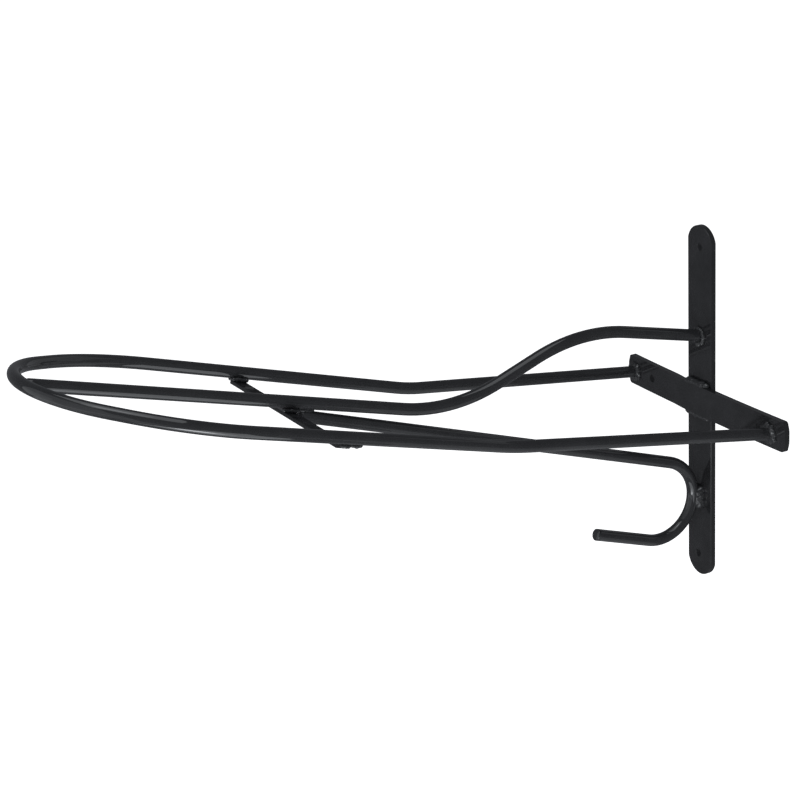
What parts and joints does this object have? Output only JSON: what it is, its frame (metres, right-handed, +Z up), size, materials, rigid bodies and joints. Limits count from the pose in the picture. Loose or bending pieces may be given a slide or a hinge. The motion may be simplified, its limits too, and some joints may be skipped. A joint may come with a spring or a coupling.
{
  "type": "saddle rack",
  "caption": "Wall-mounted welded steel saddle rack with a looped arm, a central ridge rod and a bridle hook below.",
  "frame": {"origin": "on the back face of the wall plate, on its centreline, at the height of the cross plate", "axes": "-Y points out from the wall along the arm, +Z is up, +X is the side of the cross plate's longer end"},
  "size_m": [0.2296, 0.6293, 0.3232],
  "materials": {
    "paint": "gloss black paint over steel",
    "weld": "gloss black paint over rough weld bead"
  },
  "bodies": {
    "root": {"cross_plate": "paint", "cross_strip": "paint", "ridge_rod": "paint", "seat_loop": "paint", "support_hook_rod": "paint", "wall_plate": "paint", "weld_cross_bottom": "weld", "weld_cross_top": "weld", "weld_hook_far": "weld", "weld_hook_near": "weld", "weld_loop_far": "weld", "weld_loop_near": "weld", "weld_ridge_plate": "weld", "weld_strip_far": "weld", "weld_strip_near": "weld", "weld_strip_ridge": "weld"}
  },
  "joints": []
}
